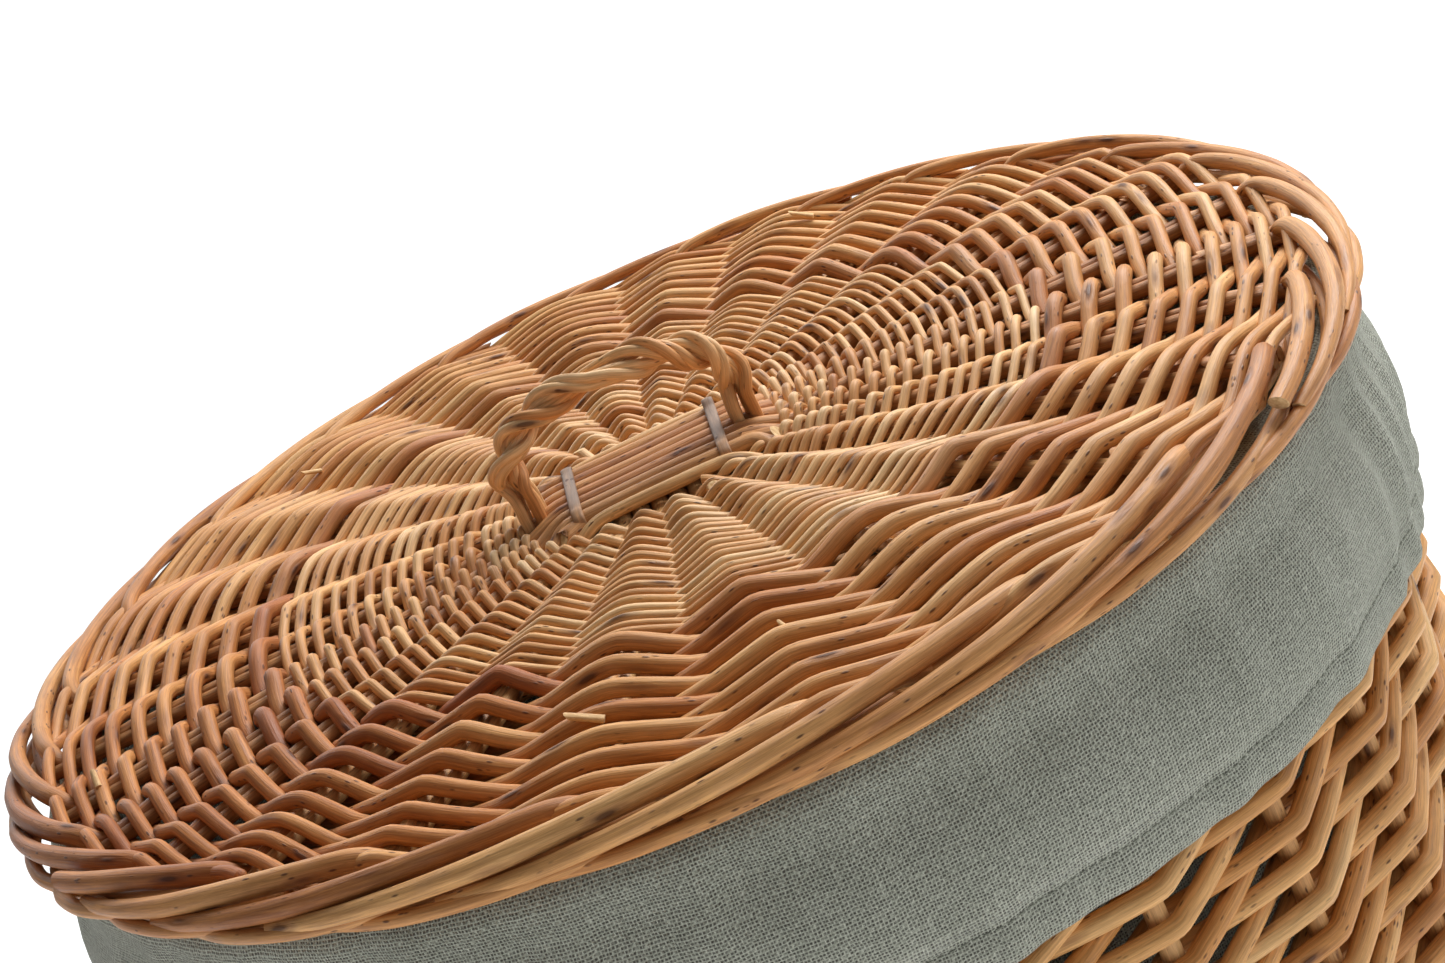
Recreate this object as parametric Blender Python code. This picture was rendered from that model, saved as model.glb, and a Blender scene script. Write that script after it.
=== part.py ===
"""A round willow laundry basket with a lift-off lid and a folded-over linen lining.

Metres, +Z up. The origin is on the floor, under the middle of the basket. The
lid's handle and the upper sticks of both crosses run along X.
"""

import math

import bmesh
import bpy
from mathutils import Vector

# ---- Driving dimensions ----
GAP = 0.0003                # between pieces that touch

LID_RADIUS = 0.230
LID_PLANE = 0.566           # height of the middle of the lid's rim
LID_STICKS = (7, 6)         # sticks over and under in the lid's cross
LID_STICK_RADIUS = 0.0030
LID_STICK_PITCH = 0.0063
LID_WEAVE_BOTTOM = -0.0060  # heights within the lid, from LID_PLANE
LID_WEAVE_TOP = 0.0075
LID_STICK_HEIGHT = 0.0010
LID_OVER_HEIGHT = 0.0050
LID_UNDER_HEIGHT = -0.0016
LID_SPREAD_RADIUS = 0.052   # where the sticks have opened out into spokes
LID_BANDS = (("lid_inner_pairing", 0.0530, 0.0620, "fine"),
             ("lid_fine_weave", 0.0620, 0.1340, "fine"),
             ("lid_thick_weave", 0.1340, 0.2125, "weave"))

LASHING_X = (-0.0272, 0.0235)
LASHING_WIDTH = 0.0050
LASHING_THICKNESS = 0.0012

HANDLE_MIDDLE = -0.004
HANDLE_HALF_SPAN = 0.0375
HANDLE_FOOT = 0.0088        # foot and apex heights, from LID_PLANE
HANDLE_APEX = 0.0400
HANDLE_SQUARENESS = 2.9     # 2 is a half ellipse, more is flatter on top
HANDLE_BULGE = 0.0030       # how much wider than its feet the arch is, halfway up
STRAND_RADIUS = 0.0029
STRAND_TWISTS = -3.0        # negative: a left-hand rope

STAKES = 28
STAKE_RADIUS = 0.0035
WALL_BOTTOM_RADIUS = 0.1970  # to the middle of the wall
WALL_TOP_RADIUS = 0.2105
WALL_BULGE = 0.0060
WALL_THICKNESS = 0.0150
FOOT_HEIGHT = 0.0180
FOOT_THICKNESS = 0.0170
WALE_TOP = 0.0420
WEAVE_TOP = 0.5320
RIM_THICKNESS = 0.0180
RIM_HOOP_RISE = 0.0090        # where the stakes turn sideways, above the wall's weave

BASE_STICKS = (4, 3)
BASE_STICK_RADIUS = 0.0040
BASE_STICK_PITCH = 0.0086
BASE_MIDDLE = 0.0195        # height of the middle of the base's weave
BASE_HALF_THICKNESS = 0.0075
BASE_OVER_HEIGHT = 0.0043
BASE_SPREAD_RADIUS = 0.046

LINING_THICKNESS = 0.0020
LINING_CLEARANCE = 0.0098   # from the middle of the wall to the lining's back
HEM_BOTTOM = 0.486
HEM_TOP = 0.498
CUFF_BULGE_HEIGHT = 0.520
CUFF_BULGE_RADIUS = 0.2265
ELASTIC_THICKNESS = 0.0012
ELASTIC_WIDTH = 0.0060

CHANNEL_CLEARANCE = 0.0004  # around a stick or stake in a woven band
WALL_STEPS = 2 * STAKES
LID_STEPS = 2 * 2 * sum(LID_STICKS)

# ---- Worked out from the above ----
LID_UNDERSIDE = LID_PLANE + LID_WEAVE_BOTTOM
CUFF_TOP = LID_UNDERSIDE - GAP
RIM_TOP = CUFF_TOP - LINING_THICKNESS - GAP
WALL_LEVELS = (FOOT_HEIGHT + GAP, 0.15, 0.32, 0.545)

COLOURS = {
    "weave": (0.60, 0.36, 0.19, 1.0),
    "fine": (0.72, 0.50, 0.29, 1.0),
    "stick": (0.47, 0.27, 0.14, 1.0),
    "border": (0.56, 0.32, 0.16, 1.0),
    "handle": (0.58, 0.34, 0.17, 1.0),
    "lashing": (0.36, 0.26, 0.19, 1.0),
    "wall": (0.66, 0.42, 0.20, 1.0),
    "linen": (0.40, 0.44, 0.39, 1.0),
    "elastic": (0.80, 0.79, 0.74, 1.0),
}


# ---- Tools ----
def clear_scene():
    for existing in list(bpy.data.objects):
        bpy.data.objects.remove(existing, do_unlink=True)


def make_material(name):
    material = bpy.data.materials.new(name)
    material.use_nodes = True
    shader = material.node_tree.nodes["Principled BSDF"]
    shader.inputs["Base Color"].default_value = COLOURS[name]
    shader.inputs["Roughness"].default_value = 0.9 if name == "linen" else 0.55
    shader.inputs["Metallic"].default_value = 0.0
    return material


def add_object(name, data, colour, parent=None):
    added = bpy.data.objects.new(name, data)
    added.data.materials.append(MATERIALS[colour])
    bpy.context.scene.collection.objects.link(added)
    added.parent = parent
    return added


def hide_as_tool(tool):
    tool.hide_render = True
    tool.display_type = "WIRE"
    return tool


def mesh_from(name, fill):
    """A mesh whose faces the function fill adds to a bmesh, facing out."""
    shape = bmesh.new()
    fill(shape)
    bmesh.ops.recalc_face_normals(shape, faces=shape.faces)
    mesh = bpy.data.meshes.new(name)
    shape.to_mesh(mesh)
    shape.free()
    return mesh


def turned(name, profile, steps):
    """A closed outline of (radius, height) points turned about Z."""
    def fill(shape):
        rings = []
        for step in range(steps):
            turn = 2.0 * math.pi * step / steps
            rings.append([shape.verts.new((r * math.cos(turn), r * math.sin(turn), z))
                          for r, z in profile])
        for step in range(steps):
            here, after = rings[step], rings[(step + 1) % steps]
            for i in range(len(profile)):
                j = (i + 1) % len(profile)
                shape.faces.new((here[i], here[j], after[j], after[i]))
    return mesh_from(name, fill)


def tube_curve(name, routes, radius):
    """Six-sided tubes with closed ends, one along each list of points."""
    curve = bpy.data.curves.new(name, "CURVE")
    curve.dimensions = "3D"
    curve.bevel_depth = radius
    curve.bevel_resolution = 1
    curve.use_fill_caps = True
    for route in routes:
        spline = curve.splines.new("POLY")
        spline.points.add(len(route) - 1)
        for point, place in zip(spline.points, route):
            point.co = (*place, 1.0)
    return curve


def tube_tool(name, routes, radius):
    """The same tubes as a hidden mesh, for a Boolean."""
    source = add_object(name + "_route", tube_curve(name, routes, radius), "stick")
    bpy.context.view_layer.update()
    graph = bpy.context.evaluated_depsgraph_get()
    mesh = bpy.data.meshes.new_from_object(source.evaluated_get(graph))
    bpy.data.objects.remove(source, do_unlink=True)
    shape = bmesh.new()
    shape.from_mesh(mesh)
    bmesh.ops.remove_doubles(shape, verts=shape.verts, dist=1e-6)
    bmesh.ops.recalc_face_normals(shape, faces=shape.faces)
    shape.to_mesh(mesh)
    shape.free()
    return hide_as_tool(add_object(name, mesh, "stick"))


def add_boolean(target, tool, operation):
    cut = target.modifiers.new(tool.name, "BOOLEAN")
    cut.object = tool
    cut.operation = operation
    cut.solver = "EXACT"


def polar(radius, turn, height):
    return Vector((radius * math.cos(turn), radius * math.sin(turn), height))


def rounded_band(inner, outer, bottom, top, bevel):
    """The outline of a flat ring with its four edges bevelled."""
    return [(inner + bevel, bottom), (outer - bevel, bottom), (outer, bottom + bevel),
            (outer, top - bevel), (outer - bevel, top), (inner + bevel, top),
            (inner, top - bevel), (inner, bottom + bevel)]


def wall_radius(height):
    """The middle of the basket's wall: it widens upwards with a slight bulge."""
    share = (height - FOOT_HEIGHT) / (RIM_TOP - FOOT_HEIGHT)
    straight = WALL_BOTTOM_RADIUS + (WALL_TOP_RADIUS - WALL_BOTTOM_RADIUS) * share
    return straight + WALL_BULGE * math.sin(math.pi * share)


# ---- A cross of sticks, as in the middle of the lid and of the base ----
def stick_route(offset, turn, spread, ends, over_height, weave_height, straight):
    """One stick through a cross along X, offset in Y, opening to +-turn at its ends.

    spread is the radius where it has become a straight spoke, and ends the
    radius where it stops.
    """
    half = [Vector((straight, offset, over_height))]
    goal = polar(spread, turn, weave_height)
    along = Vector((1.0, 0.0, 0.0)) * (goal - half[0]).length
    away = polar(1.0, turn, 0.0) * (goal - half[0]).length
    for step in range(1, 6):
        t = step / 5.0
        half.append(half[0] * (2 * t**3 - 3 * t**2 + 1) + goal * (3 * t**2 - 2 * t**3)
                    + along * (t**3 - 2 * t**2 + t) + away * (t**3 - t**2))
    half.append(polar(ends, turn, weave_height))
    mirrored = [Vector((-p.x, p.y, p.z)) for p in reversed(half)]
    return mirrored + half


def quarter_turned(route):
    return [Vector((-p.y, p.x, p.z)) for p in route]


def add_cross(prefix, counts, size, parent):
    """The sticks of a cross: the first set along X above the second along Y."""
    ends = 2 * sum(counts)
    for under, count in enumerate(counts):
        for number in range(count):
            place = number - (count - 1) / 2.0
            height = size["under"] if under else size["over"]
            straight = (counts[1 - under] / 2.0) * size["pitch"] + size["margin"][under]
            route = stick_route(place * size["pitch"], place * 2.0 * math.pi / ends,
                                size["spread"], size["end"], height, size["weave"], straight)
            if under:
                route = quarter_turned(route)
            layer = "lower" if under else "upper"
            name = f"{prefix}_{layer}_stick_{number + 1}"
            add_object(name, tube_curve(name, [route], size["radius"]), "stick", parent)


def spoke_cutter(name, count, first_turn, inner, outer, height, radius):
    """Straight radial tubes that cut the sticks' channels in the woven bands."""
    routes = [[polar(inner, first_turn + i * 2.0 * math.pi / count, height),
               polar(outer, first_turn + i * 2.0 * math.pi / count, height)]
              for i in range(count)]
    return tube_tool(name, routes, radius)


# ---- Lid ----
def add_lid_cross(parent):
    add_cross("lid", LID_STICKS, {
        "pitch": LID_STICK_PITCH, "radius": LID_STICK_RADIUS,
        "over": LID_PLANE + LID_OVER_HEIGHT, "under": LID_PLANE + LID_UNDER_HEIGHT,
        "weave": LID_PLANE + LID_STICK_HEIGHT, "spread": LID_SPREAD_RADIUS,
        "end": LID_BANDS[-1][2] - GAP, "margin": (0.0110, 0.0020)}, parent)


def add_lid_bands(parent):
    count = 2 * sum(LID_STICKS)
    cutter = spoke_cutter("lid_channels", count, 0.0, LID_SPREAD_RADIUS - 0.002,
                          LID_RADIUS - 0.004, LID_PLANE + LID_STICK_HEIGHT,
                          LID_STICK_RADIUS + CHANNEL_CLEARANCE)
    for name, inner, outer, colour in LID_BANDS:
        outline = [(inner, LID_UNDERSIDE), (outer - GAP, LID_UNDERSIDE),
                   (outer - GAP, LID_PLANE + LID_WEAVE_TOP),
                   (inner, LID_PLANE + LID_WEAVE_TOP)]
        band = add_object(name, turned(name, outline, LID_STEPS), colour, parent)
        add_boolean(band, cutter, "DIFFERENCE")


def add_lid_border(parent):
    outline = rounded_band(LID_BANDS[-1][2], LID_RADIUS, LID_UNDERSIDE,
                           LID_PLANE - LID_WEAVE_BOTTOM, 0.004)
    add_object("lid_border", turned("lid_border", outline, LID_STEPS), "border", parent)


def add_lashing(name, middle, parent):
    """A flat strip wrapped once round the upper sticks of the lid's cross."""
    inner_y = (LID_STICKS[0] - 1) / 2.0 * LID_STICK_PITCH + LID_STICK_RADIUS + 2 * GAP
    inner_z = LID_STICK_RADIUS + GAP
    centre = LID_PLANE + LID_OVER_HEIGHT

    def loop(extra):
        points = []
        for side in (1, -1):
            for step in range(5):
                turn = side * math.pi / 2.0 - math.pi * step / 4.0
                points.append((side * (inner_y - inner_z) + (inner_z + extra) * math.cos(turn),
                               centre + (inner_z + extra) * math.sin(turn)))
        return points

    def fill(shape):
        rings = []
        for x in (middle - LASHING_WIDTH / 2.0, middle + LASHING_WIDTH / 2.0):
            for extra in (0.0, LASHING_THICKNESS):
                rings.append([shape.verts.new((x, y, z)) for y, z in loop(extra)])
        inner_near, outer_near, inner_far, outer_far = rings
        order = (inner_near, outer_near, outer_far, inner_far)
        for here, after in zip(order, order[1:] + order[:1]):
            for i in range(len(here)):
                j = (i + 1) % len(here)
                shape.faces.new((here[i], here[j], after[j], after[i]))
    add_object(name, mesh_from(name, fill), "lashing", parent)


def handle_centre(share):
    """A point on the handle's arch and the direction square to it in the arch's plane."""
    turn = math.pi * (1.0 - share)
    power = 2.0 / HANDLE_SQUARENESS
    across = math.copysign(abs(math.cos(turn)) ** power, math.cos(turn))
    rise = abs(math.sin(turn)) ** power
    half_span = HANDLE_HALF_SPAN + HANDLE_BULGE * 4.0 * rise * (1.0 - rise)
    return Vector((HANDLE_MIDDLE + half_span * across, 0.0,
                   LID_PLANE + HANDLE_FOOT + (HANDLE_APEX - HANDLE_FOOT) * rise))


def strand_route(phase, steps=44):
    """One strand wound round the arch, a strand's width from the other."""
    offset = STRAND_RADIUS + GAP
    route = []
    for step in range(steps + 1):
        share = step / steps
        here = handle_centre(share)
        ahead = handle_centre(min(share + 0.01, 1.0)) - handle_centre(max(share - 0.01, 0.0))
        across = Vector((0.0, 1.0, 0.0))
        outward = across.cross(ahead.normalized())
        turn = phase + 2.0 * math.pi * STRAND_TWISTS * share
        route.append(here + (across * math.cos(turn) + outward * math.sin(turn)) * offset)
    return route


def add_handle(parent):
    for number in (1, 2):
        name = f"lid_handle_strand_{number}"
        route = strand_route(math.pi * (number - 1))
        add_object(name, tube_curve(name, [route], STRAND_RADIUS), "handle", parent)


# ---- Wall ----
def stake_routes(bottom, top):
    """Every stake's route, carried on straight beyond the wall's ends if asked to."""
    heights = [bottom, *WALL_LEVELS[1:-1], top]
    routes = []
    for number in range(STAKES):
        turn = 2.0 * math.pi * (number + 0.5) / STAKES
        routes.append([polar(level_radius(z), turn, z) for z in heights])
    return routes


def level_radius(height):
    """The wall's radius on straight lines between its levels, so that pieces stay parallel."""
    low, high = WALL_LEVELS[0], WALL_LEVELS[1]
    for below, above in zip(WALL_LEVELS, WALL_LEVELS[1:]):
        if height >= below:
            low, high = below, above
    share = (height - low) / (high - low)
    return wall_radius(low) + (wall_radius(high) - wall_radius(low)) * share


def wall_outline(bottom, top, thickness):
    heights = [bottom] + [z for z in WALL_LEVELS if bottom < z < top] + [top]
    outer = [(level_radius(z) + thickness / 2.0, z) for z in heights]
    inner = [(level_radius(z) - thickness / 2.0, z) for z in reversed(heights)]
    return outer + inner


def add_wall(parent):
    cutter = tube_tool("stake_channels", stake_routes(FOOT_HEIGHT - 0.004, RIM_TOP - 0.004),
                       STAKE_RADIUS + CHANNEL_CLEARANCE)
    wale = wall_outline(FOOT_HEIGHT + GAP, WALE_TOP, WALL_THICKNESS + 0.0015)
    weave = wall_outline(WALE_TOP + GAP, WEAVE_TOP, WALL_THICKNESS)
    for name, outline in (("lower_wale", wale), ("side_weave", weave)):
        band = add_object(name, turned(name, outline, WALL_STEPS), "wall", parent)
        add_boolean(band, cutter, "DIFFERENCE")


def add_stakes_and_rim(parent):
    """The stakes, joined where their tops turn sideways, and the border woven over them."""
    middle = level_radius((WEAVE_TOP + RIM_TOP) / 2.0)
    bottom = WEAVE_TOP + GAP
    groove = STAKE_RADIUS + CHANNEL_CLEARANCE
    hoop_height = bottom + RIM_HOOP_RISE
    half = RIM_THICKNESS / 2.0
    outline = rounded_band(middle - half, middle + half, bottom, RIM_TOP, 0.005)
    groove_top = hoop_height + groove
    outline[1:1] = [(middle - groove, bottom), (middle - groove, groove_top),
                    (middle + groove, groove_top), (middle + groove, bottom)]
    add_object("rim_border", turned("rim_border", outline, WALL_STEPS), "wall", parent)

    hoop = [(middle + STAKE_RADIUS * math.cos(math.radians(turn)),
             hoop_height + STAKE_RADIUS * math.sin(math.radians(turn)))
            for turn in range(30, 390, 60)]
    stakes = add_object("side_stakes", turned("side_stakes", hoop, WALL_STEPS), "stick", parent)
    routes = stake_routes(WALL_LEVELS[0] + GAP, hoop_height)
    add_boolean(stakes, tube_tool("stake_union", routes, STAKE_RADIUS), "UNION")


def add_foot(parent):
    middle = level_radius(FOOT_HEIGHT)
    outline = rounded_band(middle - FOOT_THICKNESS / 2.0, middle + FOOT_THICKNESS / 2.0,
                           0.0, FOOT_HEIGHT, 0.004)
    add_object("foot_border", turned("foot_border", outline, WALL_STEPS), "wall", parent)


# ---- Base ----
def add_base(parent):
    outer = level_radius(FOOT_HEIGHT) - FOOT_THICKNESS / 2.0 - 2 * GAP
    add_cross("base", BASE_STICKS, {
        "pitch": BASE_STICK_PITCH, "radius": BASE_STICK_RADIUS,
        "over": BASE_MIDDLE + BASE_OVER_HEIGHT, "under": BASE_MIDDLE - BASE_OVER_HEIGHT,
        "weave": BASE_MIDDLE, "spread": BASE_SPREAD_RADIUS,
        "end": outer, "margin": (0.0020, 0.0020)}, parent)
    count = 2 * sum(BASE_STICKS)
    cutter = spoke_cutter("base_channels", count, math.pi / count, BASE_SPREAD_RADIUS - 0.002,
                          outer + 0.004, BASE_MIDDLE, BASE_STICK_RADIUS + CHANNEL_CLEARANCE)
    outline = [(BASE_SPREAD_RADIUS + 0.001, BASE_MIDDLE - BASE_HALF_THICKNESS),
               (outer, BASE_MIDDLE - BASE_HALF_THICKNESS),
               (outer, BASE_MIDDLE + BASE_HALF_THICKNESS),
               (BASE_SPREAD_RADIUS + 0.001, BASE_MIDDLE + BASE_HALF_THICKNESS)]
    weave = add_object("base_weave", turned("base_weave", outline, WALL_STEPS), "wall", parent)
    add_boolean(weave, cutter, "DIFFERENCE")


# ---- Lining ----
def lining_outline():
    """The bag's wall, up the inside, over the rim and down the outside to its hem."""
    bottom = BASE_MIDDLE + BASE_HALF_THICKNESS + LINING_THICKNESS + 0.0020
    rim_back = level_radius(RIM_TOP) + RIM_THICKNESS / 2.0 + 2 * GAP
    hem_back = level_radius(HEM_BOTTOM) + WALL_THICKNESS / 2.0 + ELASTIC_THICKNESS + 2 * GAP
    inside = [(level_radius(z) - LINING_CLEARANCE, z)
              for z in (bottom, *WALL_LEVELS[1:-1], RIM_TOP + GAP)]
    back = inside + [(rim_back, RIM_TOP + GAP),
                     (CUFF_BULGE_RADIUS - LINING_THICKNESS, CUFF_BULGE_HEIGHT),
                     (hem_back, HEM_TOP), (hem_back, HEM_BOTTOM)]
    front = [(hem_back + LINING_THICKNESS, HEM_BOTTOM), (hem_back + LINING_THICKNESS, HEM_TOP),
             (CUFF_BULGE_RADIUS, CUFF_BULGE_HEIGHT),
             (rim_back + LINING_THICKNESS, CUFF_TOP - LINING_THICKNESS),
             (rim_back, CUFF_TOP),
             (inside[-1][0] + LINING_THICKNESS, CUFF_TOP),
             (inside[-1][0] - LINING_THICKNESS, CUFF_TOP - 2 * LINING_THICKNESS)]
    front += [(r - LINING_THICKNESS, z) for r, z in reversed(inside[:-1])]
    return back + front


def add_lining(parent):
    add_object("lining_wall_and_cuff", turned("lining_wall_and_cuff", lining_outline(), WALL_STEPS),
               "linen", parent)
    low = BASE_MIDDLE + BASE_HALF_THICKNESS + 0.0015
    panel_radius = level_radius(low) - LINING_CLEARANCE - LINING_THICKNESS

    def fill(shape):
        bmesh.ops.create_cone(shape, cap_ends=True, segments=WALL_STEPS, radius1=panel_radius,
                              radius2=panel_radius, depth=LINING_THICKNESS)
        bmesh.ops.translate(shape, verts=shape.verts, vec=(0.0, 0.0, low + LINING_THICKNESS / 2.0))
    add_object("lining_bottom_panel", mesh_from("lining_bottom_panel", fill), "linen", parent)
    back = level_radius(HEM_BOTTOM) + WALL_THICKNESS / 2.0 + GAP
    middle = (HEM_BOTTOM + HEM_TOP) / 2.0
    outline = [(back, middle - ELASTIC_WIDTH / 2.0),
               (back + ELASTIC_THICKNESS, middle - ELASTIC_WIDTH / 2.0),
               (back + ELASTIC_THICKNESS, middle + ELASTIC_WIDTH / 2.0),
               (back, middle + ELASTIC_WIDTH / 2.0)]
    add_object("cuff_elastic", turned("cuff_elastic", outline, WALL_STEPS), "elastic", parent)


def add_group(name):
    empty = bpy.data.objects.new(name, None)
    bpy.context.scene.collection.objects.link(empty)
    return empty


clear_scene()
MATERIALS = {name: make_material(name) for name in COLOURS}
basket = add_group("basket_group")
lid = add_group("lid_group")
add_foot(basket)
add_base(basket)
add_wall(basket)
add_stakes_and_rim(basket)
add_lining(basket)
add_lid_cross(lid)
add_lid_bands(lid)
add_lid_border(lid)
for side, place in zip(("left", "right"), LASHING_X):
    add_lashing(f"lid_lashing_{side}", place, lid)
add_handle(lid)
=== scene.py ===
"""The looks of a round willow laundry basket with a lift-off lid and a linen lining.

Every rod of the weave is a tube along its own route, over and under the sticks
that the CAD model places. Metres, +Z up, the CAD model's frame.
"""

import math

import bpy
import numpy as np
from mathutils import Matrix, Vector


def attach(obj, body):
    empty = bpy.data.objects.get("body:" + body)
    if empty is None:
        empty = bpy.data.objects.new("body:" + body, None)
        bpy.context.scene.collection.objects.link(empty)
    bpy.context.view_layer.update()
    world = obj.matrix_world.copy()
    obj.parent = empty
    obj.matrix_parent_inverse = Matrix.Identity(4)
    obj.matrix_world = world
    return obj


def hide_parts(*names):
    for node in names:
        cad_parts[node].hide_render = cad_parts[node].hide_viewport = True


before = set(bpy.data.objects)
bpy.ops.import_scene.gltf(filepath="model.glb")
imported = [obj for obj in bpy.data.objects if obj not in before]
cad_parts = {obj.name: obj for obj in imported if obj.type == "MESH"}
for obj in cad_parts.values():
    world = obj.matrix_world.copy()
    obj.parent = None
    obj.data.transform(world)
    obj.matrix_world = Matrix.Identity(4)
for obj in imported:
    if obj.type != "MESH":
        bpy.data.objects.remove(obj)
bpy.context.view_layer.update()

TURN = 2.0 * math.pi
MM = 0.001

# ---- Sizes shared with the CAD model ----
LID_PLANE = 0.566           # height of the middle of the lid's rim
LID_SPOKES = 26
LID_PITCH = 0.0063          # between the sticks of the lid's cross
LID_OVER = 0.0050           # the cross's upper and lower sticks, from LID_PLANE
LID_UNDER = -0.0016
LID_MIDDLE = LID_PLANE + 0.0010     # the middle of its weave
LID_SPREAD = 0.052          # where the sticks have opened out into spokes
LASHING_X = (-0.0272, 0.0235)
HANDLE_MIDDLE = -0.004
HANDLE_HALF_SPAN = 0.0375
HANDLE_FOOT = 0.0088        # heights of its centre line, from LID_PLANE
HANDLE_APEX = 0.0400
HANDLE_SQUARENESS = 2.9
HANDLE_BULGE = 0.0030
HANDLE_TWISTS = -3.0
STAKES = 28
FOOT_HEIGHT = 0.018
RIM_TOP = 0.5574
BASE_SPOKES = 14
BASE_PITCH = 0.0086
BASE_MIDDLE = 0.0195
BASE_OVER = 0.0043
BASE_SPREAD = 0.046
BASE_END = 0.188


def wall_radius(height):
    """The middle of the basket's wall: it widens upwards with a slight bulge."""
    share = (np.asarray(height) - FOOT_HEIGHT) / (RIM_TOP - FOOT_HEIGHT)
    return 0.1970 + 0.0135 * share + 0.0060 * np.sin(math.pi * share)


def new_object(name, data):
    """An object in the scene, at the origin."""
    thing = bpy.data.objects.new(name, data)
    bpy.context.scene.collection.objects.link(thing)
    return thing


# ---- Camera ----
def place_camera():
    """Above the lid's near edge, rolled so that the lid climbs to the right."""
    aim = np.array((0.0173, -0.0274, LID_PLANE))
    place = np.array((0.0, -0.8116, LID_PLANE + 0.2968))
    roll = math.radians(24.68)
    forward = (aim - place) / np.linalg.norm(aim - place)
    level = np.cross(forward, (0.0, 0.0, 1.0))
    level /= np.linalg.norm(level)
    upright = np.cross(level, forward)
    up = upright * math.cos(roll) + level * math.sin(roll)
    side = np.cross(forward, up)
    camera = new_object("camera", bpy.data.cameras.new("camera"))
    camera.data.sensor_width = 36.0
    camera.data.lens = 67.27
    camera.data.clip_start = 0.02
    camera.data.clip_end = 100.0
    matrix = np.eye(4)
    matrix[:3, 0], matrix[:3, 1], matrix[:3, 2], matrix[:3, 3] = side, up, -forward, place
    camera.matrix_world = matrix.T.tolist()
    bpy.context.scene.camera = camera


# ---- Node helpers ----
def srgb(red, green, blue):
    """A screen colour, 0 to 255, as the linear colour that a shader takes."""
    def linear(value):
        value /= 255.0
        return value / 12.92 if value <= 0.04045 else ((value + 0.055) / 1.055) ** 2.4
    return (linear(red), linear(green), linear(blue), 1.0)


class Nodes:
    """A small writer of shader nodes: an input is a number, a colour or a node's output."""

    def __init__(self, name, colour, roughness):
        self.material = bpy.data.materials.new(name)
        self.material.use_nodes = True
        self.tree = self.material.node_tree
        self.shader = self.tree.nodes["Principled BSDF"]
        self.set("Base Color", colour)
        self.set("Roughness", roughness)

    def set(self, name, value):
        self.put(self.shader.inputs[name], value)

    def put(self, socket, value):
        if isinstance(value, bpy.types.NodeSocket):
            self.tree.links.new(value, socket)
        elif value is not None:
            socket.default_value = value

    def node(self, kind, inputs, output=0, **settings):
        node = self.tree.nodes.new("ShaderNode" + kind)
        for setting, value in settings.items():
            setattr(node, setting, value)
        for place, value in inputs.items():
            self.put(node.inputs[place], value)
        return node.outputs[output]

    def attribute(self, name, output="Fac"):
        return self.node("Attribute", {}, output, attribute_name=name)

    def math(self, operation, *values, clamp=False):
        return self.node("Math", dict(enumerate(values)), operation=operation, use_clamp=clamp)

    def plus(self, a, b, clamp=False):
        return self.math("ADD", a, b, clamp=clamp)

    def times(self, a, b):
        return self.math("MULTIPLY", a, b)

    def stretched(self, vector, along, across):
        """Texture coordinates with the given numbers of grains to a metre."""
        factors = (along, across, across)
        return self.node("VectorMath", {0: vector, 1: factors}, operation="MULTIPLY")

    def noise(self, vector, along, across, detail=2.0, rough=0.5):
        inputs = {"Vector": self.stretched(vector, along, across), "Scale": 1.0,
                  "Detail": detail, "Roughness": rough}
        return self.node("TexNoise", inputs, "Fac")

    def spots(self, vector, along, across):
        inputs = {"Vector": self.stretched(vector, along, across), "Scale": 1.0}
        return self.node("TexVoronoi", inputs, "Distance")

    def span(self, value, low, high, to_low=0.0, to_high=1.0):
        return self.node("MapRange", dict(enumerate((value, low, high, to_low, to_high))))

    def ramp(self, value, colours):
        output = self.node("ValToRGB", {0: value})
        steps = output.node.color_ramp.elements
        while len(steps) < len(colours):
            steps.new(0.5)
        for index, colour in enumerate(colours):
            steps[index].position = index / (len(colours) - 1)
            steps[index].color = colour
        return output

    def mix(self, share, a, b, blend="MIX"):
        return self.node("Mix", {0: share, 6: a, 7: b}, 2, data_type="RGBA", blend_type=blend,
                         clamp_factor=True)

    def shaded(self, colour, value, low, high, dark, light):
        """The colour made darker or lighter as the value goes from low to high."""
        factor = self.span(value, low, high, dark, light)
        grey = self.node("CombineColor", {0: factor, 1: factor, 2: factor})
        return self.mix(1.0, colour, grey, "MULTIPLY")

    def bump(self, height, distance, strength):
        inputs = {"Strength": strength, "Distance": distance, "Height": height}
        self.set("Normal", self.node("Bump", inputs))


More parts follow.
